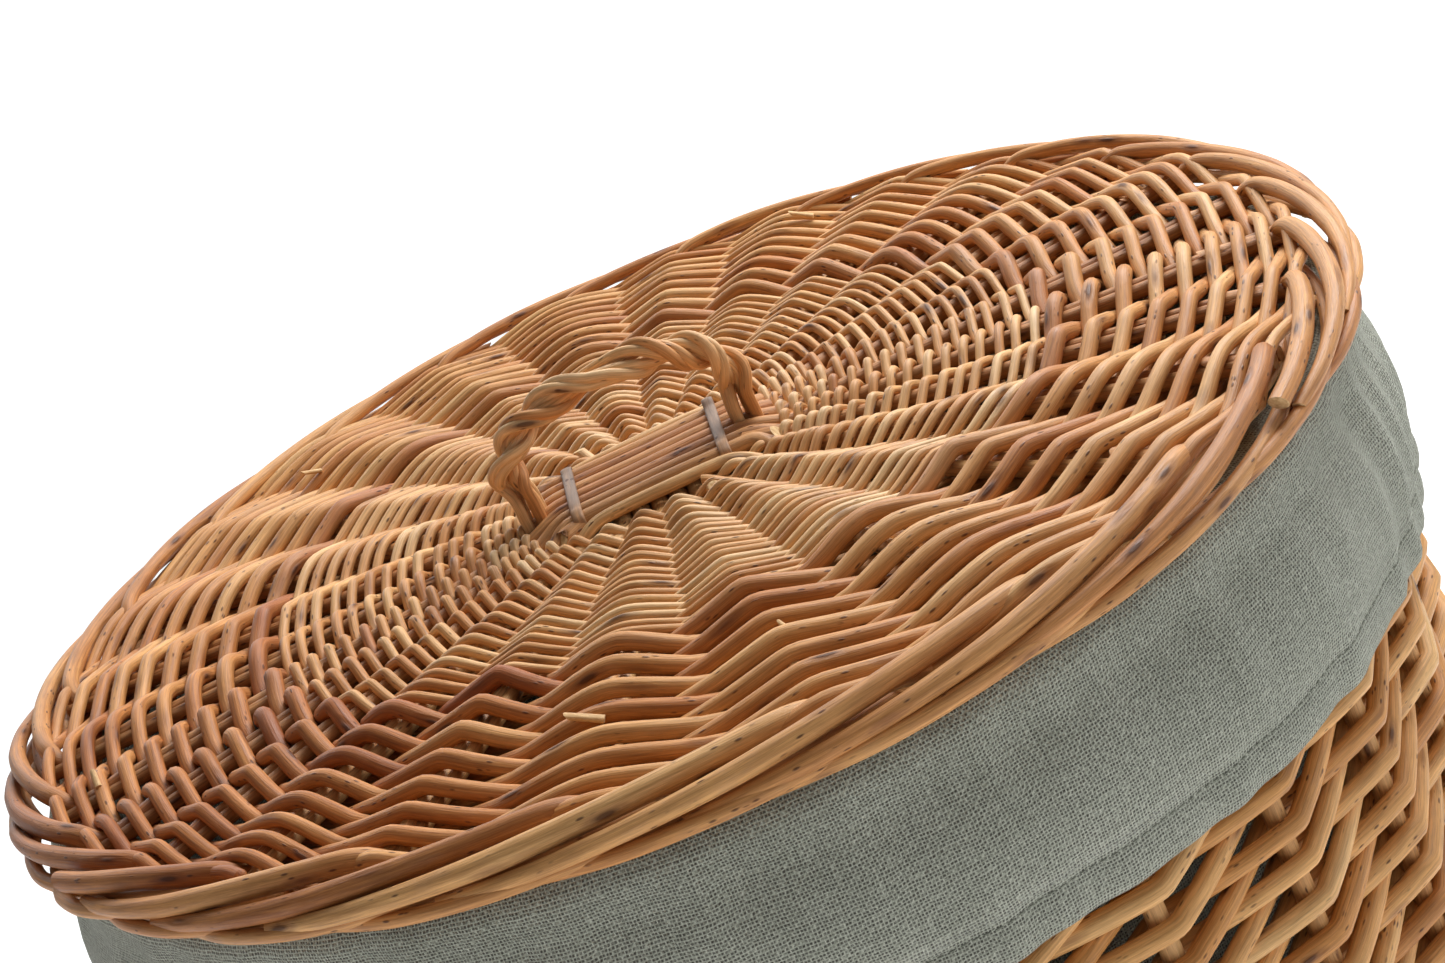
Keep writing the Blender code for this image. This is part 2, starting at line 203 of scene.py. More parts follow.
# ---- Willow ----
def willow(name, *shades, gloss=0.42, bloom=0.2):
    """Steamed willow: every rod its own shade, with grain, specks, scars and butt ends.

    shades are screen colours, from the darkest to the palest rod. The grain
    coordinate is in metres, along the rod and round its skin.
    """
    shades = [srgb(*shade) for shade in shades]
    n = Nodes("willow_" + name, shades[len(shades) // 2], gloss)
    grain = n.attribute("grain", "Vector")
    tint, butt, cut = n.attribute("tint"), n.attribute("butt"), n.attribute("cut")

    drift = n.noise(grain, 16.0, 40.0, detail=3.0)
    streak = n.noise(grain, 45.0, 1300.0, detail=4.0, rough=0.65)
    fibre = n.noise(grain, 160.0, 5200.0)
    blotch = n.noise(grain, 60.0, 240.0, detail=3.0, rough=0.6)

    place = n.plus(tint, n.math("MULTIPLY_ADD", drift, 0.7, -0.35))
    place = n.plus(place, n.math("MULTIPLY_ADD", streak, 0.55, -0.275), clamp=True)
    colour = n.ramp(place, shades)

    red = n.times(butt, n.span(blotch, 0.25, 0.65, 0.5, 1.0))
    colour = n.mix(red, colour, srgb(166, 92, 48))
    grey = n.times(n.span(blotch, 0.56, 0.74), bloom)
    colour = n.mix(grey, colour, srgb(150, 120, 98))
    colour = n.shaded(colour, streak, 0.25, 0.75, 0.70, 1.18)
    colour = n.shaded(colour, blotch, 0.3, 0.7, 0.86, 1.10)
    colour = n.shaded(colour, fibre, 0.3, 0.7, 0.86, 1.07)

    speck = n.times(n.span(n.spots(grain, 170.0, 560.0), 0.24, 0.12),
                    n.span(n.noise(grain, 60.0, 230.0, detail=1.0), 0.50, 0.58))
    colour = n.mix(n.times(speck, 0.8), colour, srgb(70, 34, 18))

    knots = n.spots(grain, 36.0, 150.0)
    scar = n.span(knots, 0.16, 0.08)
    ring = n.times(n.span(knots, 0.28, 0.18), n.span(knots, 0.07, 0.14))
    colour = n.mix(n.times(scar, 0.85), colour, srgb(72, 34, 18))
    colour = n.mix(n.times(ring, 0.35), colour, srgb(116, 62, 34))

    pith = n.noise(grain, 900.0, 900.0, detail=3.0)
    wood = n.ramp(n.span(pith, 0.3, 0.7), (srgb(196, 156, 104), srgb(232, 200, 150)))
    n.set("Base Color", n.mix(cut, colour, wood))

    rough = n.span(streak, 0.3, 0.7, gloss - 0.03, gloss + 0.15)
    n.set("Roughness", n.plus(rough, n.times(cut, 0.25)))
    n.set("Specular IOR Level", 0.34)

    relief = n.plus(streak, n.times(fibre, 0.4))
    relief = n.math("SUBTRACT", relief, n.times(speck, 0.6))
    n.bump(n.plus(relief, n.times(ring, 0.7)), 0.26 * MM, 0.9)
    return n.material


THICK_WILLOW = willow("thick", (158, 88, 38), (196, 126, 64), (222, 163, 98), (240, 196, 138))
FINE_WILLOW = willow("fine", (164, 98, 48), (206, 144, 84), (230, 178, 118), (244, 206, 154))
BORDER_WILLOW = willow("border", (164, 98, 48), (202, 138, 78), (226, 170, 106), (244, 202, 142),
                       bloom=0.3)
STICK_WILLOW = willow("stick", (168, 112, 62), (206, 152, 94), (228, 180, 120), (242, 204, 150))
CROSS_WILLOW = willow("cross", (150, 90, 44), (180, 118, 64), (200, 142, 86), (218, 166, 110),
                      gloss=0.48, bloom=0.15)
HANDLE_WILLOW = willow("handle", (178, 108, 58), (222, 160, 98), (244, 194, 136), (252, 220, 170))
LASHING_WILLOW = willow("lashing", (116, 94, 80), (146, 122, 104), (170, 134, 104),
                        (196, 148, 104), gloss=0.5, bloom=0.9)
WALL_WILLOW = willow("wall", (176, 112, 54), (212, 150, 84), (230, 174, 108), (242, 198, 138))


# ---- Linen ----
def linen(name, shade, pale, thread):
    """A plain weave of uneven threads, with painted shade in the gaps between them. The cloth
    coordinate is in metres, across and along.
    """
    n = Nodes(name, shade, 0.9)
    cloth = n.attribute("cloth", "Vector")
    split = n.node("SeparateXYZ", {0: cloth}).node.outputs
    sway = n.math("MULTIPLY_ADD", n.noise(cloth, 130.0, 130.0), 0.0016, -0.0008)
    waves, gaps = [], []
    for way in (n.plus(split[0], sway), n.math("SUBTRACT", split[1], sway)):
        phase = n.times(way, math.pi / thread)
        waves.append(n.math("SINE", phase))
        gaps.append(n.span(n.math("ABSOLUTE", n.math("COSINE", phase)), 0.30, 0.85))
    uneven = n.noise(cloth, 700.0, 700.0, detail=3.0, rough=0.7)
    gap_depth_and_shade = n.times(n.times(*gaps), n.span(uneven, 0.32, 0.55))

    slubs = [n.span(n.noise(cloth, *grains, detail=3.0, rough=0.6), 0.3, 0.7, -0.5, 0.5)
             for grains in ((1000.0, 55.0), (55.0, 1000.0))]
    slub = n.plus(*slubs)
    cloud = n.noise(cloth, 18.0, 18.0, detail=3.0)
    tone = n.plus(n.math("MULTIPLY_ADD", slub, 0.34, 0.5),
                  n.math("MULTIPLY_ADD", cloud, 0.5, -0.25), clamp=True)
    colour = n.mix(tone, shade, pale)
    fleck = n.span(n.noise(cloth, 420.0, 420.0), 0.70, 0.76)
    colour = n.mix(n.times(fleck, 0.5), colour, srgb(84, 70, 60))
    # painted shade: the gaps between threads are darkened towards a dark brown; the same mask also
    # sinks them in the bump
    n.set("Base Color", n.mix(n.times(gap_depth_and_shade, 0.85), colour, srgb(44, 36, 30)))
    n.set("Specular IOR Level", 0.25)
    n.set("Sheen Weight", 0.18)
    n.set("Sheen Roughness", 0.5)
    height = n.plus(n.times(n.times(*waves), 0.5), n.times(slub, 0.5))
    n.bump(n.math("SUBTRACT", height, gap_depth_and_shade), 0.4 * MM, 0.9)
    return n.material


def twisted(name, dark, pale):
    """Thread or elastic, with its strands showing as a fine ripple."""
    n = Nodes(name, pale, 0.85)
    ply = n.noise(n.attribute("grain", "Vector"), 1800.0, 3000.0)
    n.set("Base Color", n.ramp(n.span(ply, 0.3, 0.7), (dark, pale)))
    n.bump(ply, 0.1 * MM, 0.7)
    return n.material


LINEN = linen("linen_sage", srgb(144, 149, 133), srgb(201, 204, 189), 0.98 * MM)
THREAD = twisted("sewing_thread", srgb(126, 130, 116), srgb(150, 153, 140))
ELASTIC = twisted("knitted_elastic", srgb(190, 188, 178), srgb(226, 224, 214))


# ---- Meshes ----
def mesh_of(name, points, groups, smooth):
    """A mesh of the given points and groups of faces, each group an array of corners."""
    mesh = bpy.data.meshes.new(name)
    mesh.vertices.add(len(points))
    mesh.vertices.foreach_set("co", points.astype(np.float32).ravel())
    sizes = np.concatenate([np.full(len(group), group.shape[1]) for group in groups])
    corners = np.concatenate([group.ravel() for group in groups])
    mesh.loops.add(len(corners))
    mesh.loops.foreach_set("vertex_index", corners.astype(np.int32))
    mesh.polygons.add(len(sizes))
    starts = np.concatenate(([0], np.cumsum(sizes)[:-1]))
    mesh.polygons.foreach_set("loop_start", starts.astype(np.int32))
    mesh.polygons.foreach_set("use_smooth", np.full(len(sizes), smooth))
    mesh.update(calc_edges=True)
    mesh.validate()
    return mesh


def ring_faces(rows, around, start=0):
    """Quads between rows of points, where each row is a closed ring."""
    row = start + np.arange(rows - 1)[:, None] * around
    here = row + np.arange(around)
    after = row + (np.arange(around) + 1) % around
    return np.stack((here, after, after + around, here + around), axis=-1).reshape(-1, 4)


def fan_faces(around, start, tip):
    """Triangles from a ring of points to one point."""
    here = np.arange(around)
    return np.stack((start + here, start + (here + 1) % around, np.full(around, tip)), axis=-1)


def add_layer(mesh, name, values, domain="POINT"):
    """Numbers or vectors at a mesh's points or corners, for its material to read."""
    kind, field = ("FLOAT", "value") if values.ndim == 1 else ("FLOAT_VECTOR", "vector")
    layer = mesh.attributes.new(name, kind, domain)
    layer.data.foreach_set(field, values.astype(np.float32).ravel())


def add_piece(name, mesh, material, body, slot, *nodes):
    piece = new_object(name + "_detail", mesh)
    mesh.materials.append(material)
    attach(piece, body)
    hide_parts(*nodes)
    return piece


# ---- Rods ----
def repeated(value, total):
    """A value as an array of numbers, one for each of so many places."""
    return np.broadcast_to(np.asarray(value, float), (total,))


def unit(vectors):
    return vectors / np.linalg.norm(vectors, axis=1)[:, None]


class Rods:
    """Gathers tubes along routes, and makes them one mesh."""

    def __init__(self, seed):
        self.rng = np.random.default_rng(seed)
        self.points, self.faces, self.smooth = [], [], []
        self.layers = {"tint": [], "butt": [], "cut": [], "grain": []}
        self.count = 0

    def keep(self, points, tint, butt, cut, grain):
        total = len(points)
        self.points.append(points)
        for name, value in (("tint", tint), ("butt", butt), ("cut", cut)):
            self.layers[name].append(repeated(value, total))
        self.layers["grain"].append(grain)
        self.count += total
        return self.count - total

    def face(self, faces, smooth, flipped=False):
        self.faces.append(faces[:, ::-1] if flipped else faces)
        self.smooth.append(np.full(len(faces), smooth))

    def add(self, route, radius, tint=0.5, butt=0.0, sides=12, up=(0.0, 0.0, 1.0),
            oval=(1.0, 1.0), ends=("cut", "cut"), slant=(0.0, 0.0), bare=0.0):
        """One rod. radius may change along it; oval is its width and height factors.

        up is a direction that the route never runs along. slant leans an end's
        cut: metres that its upper side reaches further than its lower. butt is
        how red the rod is and bare how much of its skin is off.
        """
        route = np.asarray(route, float)
        total = len(route)
        radius, tint, butt = (repeated(value, total) for value in (radius, tint, butt))
        steps = np.diff(route, axis=0)
        lengths = np.linalg.norm(steps, axis=1)
        heading = steps / lengths[:, None]
        ahead = np.vstack((heading[:1], heading))
        behind = np.vstack((heading, heading[-1:]))
        along = unit(ahead + behind)
        side = unit(np.cross(along, np.broadcast_to(np.asarray(up, float), (total, 3))))
        top = np.cross(side, along)
        turn = TURN * np.arange(sides) / sides
        offset = (np.cos(turn)[None, :, None] * side[:, None, :] * oval[0]
                  + np.sin(turn)[None, :, None] * top[:, None, :] * oval[1])
        offset = offset * radius[:, None, None]

        # A corner's ring is wider across the corner, so that the rod keeps its width.
        bend = behind - ahead
        sharp = np.linalg.norm(bend, axis=1)
        bend /= np.maximum(sharp, 1e-9)[:, None]
        wider = 1.0 / np.sqrt(np.maximum(1.0 - (sharp / 2.0) ** 2, 0.4)) - 1.0
        lean = np.einsum("psk,pk->ps", offset, bend)
        offset += (lean * wider[:, None])[:, :, None] * bend[:, None, :]
        ring = route[:, None, :] + offset
        for index, amount in ((0, slant[0]), (-1, -slant[1])):
            share = np.einsum("sk,k->s", offset[index], top[index]) / max(radius[index], 1e-6)
            ring[index] += -share[:, None] * amount * along[index]

        run = np.concatenate(([0.0], np.cumsum(lengths)))
        shift = self.rng.uniform(-9.0, 9.0)
        skin = np.stack(np.broadcast_arrays((run + shift)[:, None],
                                            radius[:, None] * np.cos(turn),
                                            radius[:, None] * np.sin(turn) + shift), axis=-1)
        start = self.keep(ring.reshape(-1, 3), np.repeat(tint, sides), np.repeat(butt, sides),
                          bare, skin.reshape(-1, 3))
        self.face(ring_faces(total, sides, start), True)
        for index, kind, outward in ((0, ends[0], -along[0]), (-1, ends[1], along[-1])):
            self.close(ring[index], outward * radius[index], kind, tint[index], butt[index],
                       skin[index], index == -1)

    def close(self, ring, outward, kind, tint, butt, skin, last):
        """Ends a rod with a sawn face or a rounded tip; outward is as long as its radius."""
        tip_round = kind == "round"
        narrowing = ((0.75, 0.45), (0.40, 0.68)) if tip_round else ((0.9, 0.06),)
        middle = ring.mean(axis=0)
        rims = [ring] + [middle + (ring - middle) * width + outward * reach
                         for width, reach in narrowing]
        tip = middle + outward * (0.78 if tip_round else 0.06)
        grain = [skin + (rim - ring) for rim in rims]
        start = self.keep(np.vstack((*rims, tip)), tint, butt, 0.0 if tip_round else 1.0,
                          np.vstack((*grain, skin.mean(axis=0))))
        sides = len(ring)
        last_rim = start + len(narrowing) * sides
        self.face(ring_faces(len(rims), sides, start), tip_round, not last)
        self.face(fan_faces(sides, last_rim, last_rim + sides), tip_round, not last)

    def make(self, name, material, body, slot, *nodes):
        mesh = mesh_of(name, np.vstack(self.points), self.faces, np.concatenate(self.smooth))
        for layer, parts in self.layers.items():
            add_layer(mesh, layer, np.concatenate(parts))
        return add_piece(name, mesh, material, body, slot, *nodes)


# ---- Routes ----
def cylinder(radius, angle, height):
    """Points from their distance and angle round the basket's middle, and their height."""
    radius, angle, height = np.broadcast_arrays(radius, angle, height)
    return np.stack((radius * np.cos(angle), radius * np.sin(angle), height), axis=-1)


def smooth_step(value):
    value = np.clip(value, 0.0, 1.0)
    return value * value * (3.0 - 2.0 * value)


def quarter_turned(route):
    """The same route, a quarter turn on round the middle."""
    return np.stack((-route[:, 1], route[:, 0], route[:, 2]), axis=-1)


def beside(angle, shift, inner, outer, height, steps=18):
    """A straight stick along a spoke, moved sideways by shift."""
    route = cylinder(np.linspace(inner, outer, steps), angle, height)
    return route + shift * np.array((-math.sin(angle), math.cos(angle), 0.0))


def finer(route, parts):
    """The same route with a smooth curve through its points."""
    route = np.asarray(route, float)
    padded = np.vstack((2 * route[0] - route[1], route, 2 * route[-1] - route[-2]))
    share = np.linspace(0.0, 1.0, parts, endpoint=False)[:, None]
    curve = []
    for i in range(1, len(padded) - 2):
        a, b, c, d = padded[i - 1:i + 3]
        curve.append(0.5 * (2 * b + (c - a) * share + (2 * a - 5 * b + 4 * c - d) * share**2
                            + (3 * b - a - 3 * c + d) * share**3))
    return np.vstack((*curve, route[-1:]))


def settled(route, rounds):
    """Rounds off a route's corners, keeping its ends."""
    route = route.copy()
    for _ in range(rounds):
        route[1:-1] = 0.25 * route[:-2] + 0.5 * route[1:-1] + 0.25 * route[2:]
    return route


# ---- Weave patterns ----
# Where a weaver's route has its points, as shares of the way from one stick to the next.
CROSSING = np.array((0.0, 0.05, 0.12, 0.24, 0.38, 0.5, 0.62, 0.76, 0.88, 0.95))


def stations(first, last, steps=CROSSING):
    """Places along a weaver, counted in sticks and denser where it crosses one."""
    whole = np.arange(math.floor(first), math.ceil(last) + 1)
    places = (whole[:, None] + steps[None, :]).ravel()
    inside = places[(places > first + 0.02) & (places < last - 0.02)]
    return np.concatenate(([first], inside, [last]))


def fold(phase, sharp):
    """A wave of period 2 that is 1 at even and -1 at odd places; sharp near 1 makes it angular."""
    return np.arcsin(sharp * np.cos(math.pi * phase)) / np.arcsin(sharp)


def spoke_angle(index):
    """The lid's sticks aren't quite evenly spread: the near ones stand wider apart."""
    even = TURN * np.asarray(index, float) / LID_SPOKES
    lean = (-1.5 + 1.2 * np.cos(even) + 0.4 * np.sin(even) + 3.4 * np.cos(2 * even)
            - 4.0 * np.sin(2 * even) - 2.3 * np.cos(3 * even))
    return even + np.radians(lean)


def settle(angle):
    """How far a lid weaver leans outward between two sticks, in steps between its rows."""
    front = np.maximum(0.0, -np.sin(angle))
    right = np.maximum(0.0, np.cos(angle))
    return 0.05 + 0.22 * front - 0.22 * right * (1.0 - 0.6 * front)


# ---- Lid: randed bands ----
SHARPNESS = np.random.default_rng(11).uniform(0.55, 0.90, LID_SPOKES)
SHARPNESS[::2] = np.random.default_rng(12).uniform(0.985, 0.998, LID_SPOKES // 2)


def stick_sharpness(places):
    """Some sticks fold the weavers over them to an edge, and others let them curve."""
    return SHARPNESS[np.round(places).astype(int) % LID_SPOKES]


def near_share(angle):
    """Close to 1 at the lid's near side, where the thick rods begin further in; 0 elsewhere."""
    turn = np.degrees(np.arctan2(np.sin(angle), np.cos(angle)))
    return 0.92 * smooth_step((turn + 136.0) / 18.0) * smooth_step((-36.0 - turn) / 18.0)


def painted_left_shade(angle):
    """1 at the lid's left, fading to 0 within a quarter turn: how much painted shade darkens the
    rods there, standing in for the light falling off.
    """
    return np.exp(-(np.sin((angle - 3.66) / 2.0) / 0.34) ** 2)


def lid_band(rods, levels, radius_at, widest, thickness, swing, shade, butt_length, seed):
    """French randing: one weaver from each stick, over one and under one, working outward.

    A weaver ends after its levels, or where it has reached the widest radius. Its
    thickness, swing and butt_length go by the sticks that it has passed.
    """
    rng = np.random.default_rng(seed)
    for start in range(LID_SPOKES):
        local = stations(-0.62, 2.0 * levels + rng.uniform(0.2, 0.7))
        angle = spoke_angle(start + local)
        tilt = settle(angle)
        level = local / 2.0 + tilt * 0.5 * (1.0 - fold(2.0 * (local - 0.04), 0.96))
        wobble = 0.22 * MM * np.sin(local * 1.7 + rng.uniform(0.0, TURN))
        across = radius_at(level, angle) + wobble + rng.normal(0.0, 0.25) * MM
        kept = across < widest + 2.0 * MM * near_share(angle) + rng.uniform(-1.0, 1.0) * MM
        local, angle, across, wobble = local[kept], angle[kept], across[kept], wobble[kept]
        lift = fold(local, stick_sharpness(start + local))
        radius = thickness(local, angle) * rng.uniform(0.93, 1.07)
        height = LID_MIDDLE + swing(local, angle) * lift + wobble
        tint = shade(rng, angle)
        butt = butt_length(local) * rng.uniform(0.35, 1.0)
        rods.add(cylinder(across, angle, height), radius, tint, butt, ends=("cut", "round"))


def thick_radius(level, angle):
    even = 0.1378 + 0.0117 * level - 0.000315 * level ** 2
    return even + near_share(angle) * (-12.2 + 3.0 * level) * MM


def fine_radius(level, angle):
    return 0.0640 + (0.0060 - 0.00098 * near_share(angle)) * level


THICK_LEVELS, THICK_EDGE = 8.3, 0.2142      # rows, and the radius that they end at
FINE_LEVELS, FINE_EDGE = 11.5, 0.1345


def make_lid_bands():
    thick = Rods(1)
    lid_band(thick, THICK_LEVELS, thick_radius, THICK_EDGE,
             lambda s, a: (2.85 - 0.052 * s + near_share(a) * (0.05 + 0.03 * s)) * MM,
             lambda s, a: (5.7 - 0.055 * s) * MM,
             # painted shade: the thick rods' tint is darkened towards the lid's left, where the
             # light falls off
             lambda rng, a: np.clip(rng.normal(0.58, 0.12) - 0.38 * painted_left_shade(a), 0.0, 1.0),
             lambda s: 0.95 * np.exp(-np.maximum(s, 0.0) / 1.3), 21)
    add_stray_tips(thick, 31)
    thick.make("lid_thick_weave", THICK_WILLOW, "lid", "lid_willow", "lid_thick_weave")

    fine = Rods(2)
    lid_band(fine, FINE_LEVELS, fine_radius, FINE_EDGE,
             lambda s, a: (1.66 - 0.10 * np.cos(a) - 0.012 * s * near_share(a)) * MM,
             lambda s, a: (4.0 + 0.02 * s) * MM,
             # painted shade: the fine rods' tint is darkened towards the lid's left, where the
             # light falls off
             lambda rng, a: np.clip(rng.normal(0.54, 0.13) - 0.22 * painted_left_shade(a)
                                    + 0.10 * np.maximum(0.0, -np.sin(a)), 0.0, 1.0),
             lambda s: 0.35 * np.exp(-np.maximum(s, 0.0) / 1.2), 22)
    fine.make("lid_fine_weave", FINE_WILLOW, "lid", "fine_willow", "lid_fine_weave")


# Degrees round the lid, distance from its middle, heading, length and radius in mm.
STRAY_TIPS = ((256.6, 0.1712, 158.0, 9.0, 1.5), (274.9, 0.1668, 120.0, 4.0, 0.8),
              (61.0, 0.1960, 150.0, 8.0, 1.3), (128.0, 0.1810, 215.0, 7.0, 1.2),
              (196.0, 0.1985, 95.0, 6.0, 1.1))


def add_stray_tips(rods, seed):
    """Short split ends that poke out of the weave where weavers were joined."""
    rng = np.random.default_rng(seed)
    for turn, reach, heading, length, size in STRAY_TIPS:
        angle = math.radians(turn)
        away = math.radians(heading + rng.uniform(-6.0, 6.0))
        base = cylinder(reach, angle, LID_PLANE + 6.6 * MM)
        lean = np.array((math.cos(away), math.sin(away), 0.45))
        route = [base + lean * length * MM * share for share in (0.0, 0.35, 0.7, 1.0)]
        rods.add(route, np.linspace(size, size * 0.85, 4) * MM, 0.9, sides=8, oval=(1.0, 0.7),
                 slant=(0.0, 1.6 * MM), bare=0.5)


# ---- Lid: cross, spokes and inner pairing ----
def cross_route(offset, ends, spread, reach, over, middle, straight, sway):
    """A stick through the cross along X, opening at both ends to the given angles."""
    line = []
    for sign, angle in ((-1.0, ends[0]), (1.0, ends[1])):
        first = np.array((sign * straight, offset, over))
        goal = np.array((spread * math.cos(angle), spread * math.sin(angle), middle))
        length = np.linalg.norm(goal - first)
        along = np.array((sign * length, 0.0, 0.0))
        away = np.array((math.cos(angle), math.sin(angle), 0.0)) * length
        share = np.linspace(0.0, 1.0, 9)[:, None]
        bend = (first * (2 * share**3 - 3 * share**2 + 1) + goal * (3 * share**2 - 2 * share**3)
                + along * (share**3 - 2 * share**2 + share) + away * (share**3 - share**2))
        outer = np.linspace(spread, reach, 24)[1:, None]
        spoke = np.hstack((outer * math.cos(angle), outer * math.sin(angle),
                           np.full_like(outer, middle)))
        half = np.vstack((bend, spoke))
        line.append(half[::-1] if sign < 0 else half)
    inner = np.linspace(-straight, straight, 9)[1:-1, None]
    middle_part = np.hstack((inner, np.full_like(inner, offset), np.full_like(inner, over)))
    route = np.vstack((line[0], middle_part, line[1]))
    route[:, 1] += sway * np.sin(route[:, 0] * 110.0 + offset * 900.0)
    return route


def cross_sticks(upper, lower):
    """Each stick of a cross: its name, seed, place from the middle, and if it is a lower one."""
    for layer, count in (("upper", upper), ("lower", lower)):
        under = layer == "lower"
        for number in range(count):
            place = number - (count - 1) / 2.0
            yield f"{layer}_stick_{number + 1}", number + 10 * under, place, under


LID_STICK_END = 0.2115
LID_STICK_ASIDE = 2.45 * MM     # each stick and its second stand so far from the spoke's line


def make_lid_cross():
    """The sticks, each with the second stick pushed in beside both of its ends."""
    rng = np.random.default_rng(41)
    for name, seed, place, under in cross_sticks(7, 6):
        middle = LID_SPOKES / 4.0 if under else 0.0
        near, far = middle + place, middle + LID_SPOKES / 2.0 - place
        quarter = math.pi / 2.0 if under else 0.0
        ends = (spoke_angle(far) - quarter, spoke_angle(near) - quarter)
        straight, height, sway = ((0.0240, LID_UNDER, 0.0) if under
                                  else (0.0299, LID_OVER, 0.45 * MM))
        route = cross_route(place * LID_PITCH, ends, LID_SPREAD, LID_STICK_END,
                            LID_PLANE + height, LID_MIDDLE, straight, sway)
        distance = np.hypot(route[:, 0], route[:, 1])
        aside = smooth_step((distance - 0.118) / 0.022) * LID_STICK_ASIDE
        angle = np.arctan2(route[:, 1], route[:, 0])
        route[:, 0] += np.sin(angle) * aside
        route[:, 1] -= np.cos(angle) * aside
        radius = np.interp(distance, (0.0, 0.03, 0.05, 0.12, 0.212),
                           np.array((3.18, 3.15, 2.95, 2.7, 2.45)) * MM)
        if under:
            route = quarter_turned(route)
        tint = np.where(distance < 0.034, rng.uniform(0.2, 0.7), rng.uniform(0.4, 0.8))
        sticks = Rods(50 + seed)
        sticks.add(route, radius, tint, sides=14, oval=(1.0, 0.95))
        for index in (near, far):
            second = beside(float(spoke_angle(index)), LID_STICK_ASIDE, 0.126, LID_STICK_END,
                            LID_MIDDLE - 0.1 * MM)
            sticks.add(second, np.linspace(2.5, 2.3, len(second)) * MM, rng.uniform(0.3, 0.7),
                       slant=(4.0 * MM, 0.0))
        sticks.make("lid_" + name, STICK_WILLOW if under else CROSS_WILLOW,
                    "lid", "lid_stick_willow", "lid_" + name)


def inner_shape(level, angle):
    """Rows round the cross: near it they follow its oblong outline, further out a circle."""
    share = np.clip(level / 4.6, 0.0, 1.0)
    right = np.maximum(0.0, np.cos(angle)) * (1.0 - share)
    long_way = 0.0440 + 0.0178 * share - 0.0050 * right
    short_way = 0.0300 + 0.0318 * share
    across, down = np.cos(angle) / long_way, np.sin(angle) / short_way
    power = 2.0 + 1.2 * (1.0 - share)
    return (np.abs(across) ** power + np.abs(down) ** power) ** (-1.0 / power)


# The rods laid along the cross: x and y in metres, height in mm over the lid's plane.
LAID_ROD = np.array(((-0.0370, 0.0305, -2.2), (-0.0315, 0.0285, 0.6), (-0.0270, 0.0268, 3.4),
                     (-0.0215, 0.0254, 4.9), (-0.0100, 0.0251, 5.3), (0.0040, 0.0254, 5.4),
                     (0.0150, 0.0251, 5.2), (0.0225, 0.0255, 4.7), (0.0280, 0.0270, 2.9),
                     (0.0330, 0.0292, 0.2), (0.0380, 0.0312, -2.4)))
# Sawn stubs that show beside the cross: both ends the same way, radius in mm, shade, slant in mm.
STUBS = (((-0.0285, -0.0205, 3.4), (-0.0375, -0.0262, 2.6), 3.9, 0.35, 5.0),
         ((0.0290, -0.0165, 4.4), (0.0405, -0.0215, 3.4), 3.4, 0.30, 3.0),
         ((0.0125, -0.0330, 1.5), (0.0145, -0.0400, 3.8), 2.4, 0.7, 1.5),
         ((-0.0165, 0.0310, 2.0), (-0.0205, 0.0420, 5.5), 1.9, 0.9, 3.0))


def make_inner_pairing():
    """Two thin weavers twisted round the sticks, the rods laid along the cross, and stubs."""
    rods = Rods(3)
    rng = np.random.default_rng(61)
    rows = 4.3
    for strand in (0.0, 1.0):
        local = stations(0.0, rows * LID_SPOKES)
        angle = spoke_angle(local - 5.0)
        level = local / LID_SPOKES
        twist = 1.45 * MM * np.sin(math.pi * (local + strand))
        swing = 3.3 * MM + 0.9 * MM * smooth_step(level / 2.0)
        route = cylinder(inner_shape(level, angle) + twist, angle,
                         LID_MIDDLE + swing * fold(local + strand, 0.9))
        width = (1.55 + 0.12 * np.sin(local * 0.9)) * MM
        rods.add(route, width, 0.55 + 0.3 * strand, 0.1, sides=10)
    lift = np.array((0.0, 0.0, LID_PLANE))
    for side in (-1.0, 1.0):
        rods.add(finer(LAID_ROD * (1.0, side, MM) + lift, 4), 2.15 * MM, 0.72)
    for first, last, radius, tint, slant in STUBS:
        route = np.linspace(first, last, 5) * (1.0, 1.0, MM) + lift
        rods.add(route, radius * MM, tint, rng.uniform(0.0, 0.2), sides=14,
                 slant=(0.0, -slant * MM))
    rods.make("lid_inner_pairing", FINE_WILLOW, "lid", "fine_willow", "lid_inner_pairing")


# ---- Lid: border ----
UPPER_RIM = np.array(((0.00, 0.2085, 1.4), (0.07, 0.2098, 4.6), (0.20, 0.2122, 6.0),
                      (0.50, 0.2158, 6.2), (0.75, 0.2182, 5.9), (1.00, 0.2206, 5.2),
                      (1.40, 0.2238, 3.8), (1.80, 0.2257, 2.2), (2.20, 0.2264, 0.2),
                      (2.60, 0.2254, -2.0), (3.00, 0.2228, -3.6), (3.30, 0.2204, -4.2)))
LOWER_RIM = np.array(((-0.10, 0.2092, -2.0), (0.15, 0.2125, -2.4), (0.40, 0.2155, -2.6),
                      (0.75, 0.2190, -2.4), (1.25, 0.2238, -2.2), (1.75, 0.2270, -2.6),
                      (2.25, 0.2262, -3.8), (2.50, 0.2236, -4.1), (2.90, 0.2206, -4.1)))


def rim_route(rng, stick, shift, length, course, sway):
    """From its stick back along the rim: course holds (sticks passed, radius, height in mm)."""
    place = np.linspace(course[0, 0], length, 34)
    turn = spoke_angle(stick + shift - place)
    bend = rng.uniform(0.0, TURN)
    reach = np.interp(place, course[:, 0], course[:, 1]) + sway * np.sin(1.9 * place + bend)
    rise = np.interp(place, course[:, 0], course[:, 2]) * MM + sway * np.cos(1.7 * place + bend)
    return cylinder(reach, turn, LID_PLANE + rise)


